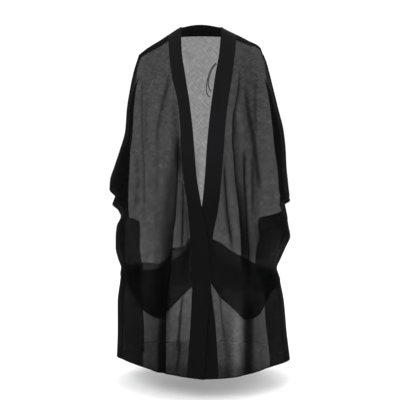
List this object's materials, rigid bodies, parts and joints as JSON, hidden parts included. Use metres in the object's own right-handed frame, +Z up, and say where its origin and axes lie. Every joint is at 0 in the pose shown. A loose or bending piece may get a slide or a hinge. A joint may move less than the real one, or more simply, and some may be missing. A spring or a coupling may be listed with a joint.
{
  "type": "bisht cloak",
  "caption": "Sheer black open-fronted cloak worn over both shoulders, with wide opaque front bands, a deep V-shaped hip tuck, sleeve-like sides with hand slits and a small tie cord.",
  "frame": {"origin": "midway between the two points where the cloak rests on the shoulders beside the neck, where the wearer holds it up", "axes": "+Z up; the open front faces -Y; +X is on the right as one faces the cloak"},
  "size_m": [0.7942, 0.5414, 1.48],
  "materials": {
    "sheer_cloth": "sheer matte black plain-weave cloth with a faint slub",
    "band_cloth": "opaque matte black cloth, folded double",
    "trim_cord": "black twisted silk cord and narrow woven tape"
  },
  "bodies": {
    "root": {"front_left_upper": "sheer_cloth", "front_left_tuck": "sheer_cloth", "front_left_lower": "sheer_cloth", "front_right_upper": "sheer_cloth", "front_right_tuck": "sheer_cloth", "front_right_lower": "sheer_cloth", "back_upper": "sheer_cloth", "back_tuck": "sheer_cloth", "back_lower": "sheer_cloth", "band_left": "band_cloth", "band_right": "band_cloth", "band_neck": "band_cloth", "seam_tape_left": "trim_cord", "seam_tape_right": "trim_cord", "slit_binding_left": "trim_cord", "slit_binding_right": "trim_cord", "cord_outer": "trim_cord", "cord_inner": "trim_cord"}
  },
  "joints": []
}
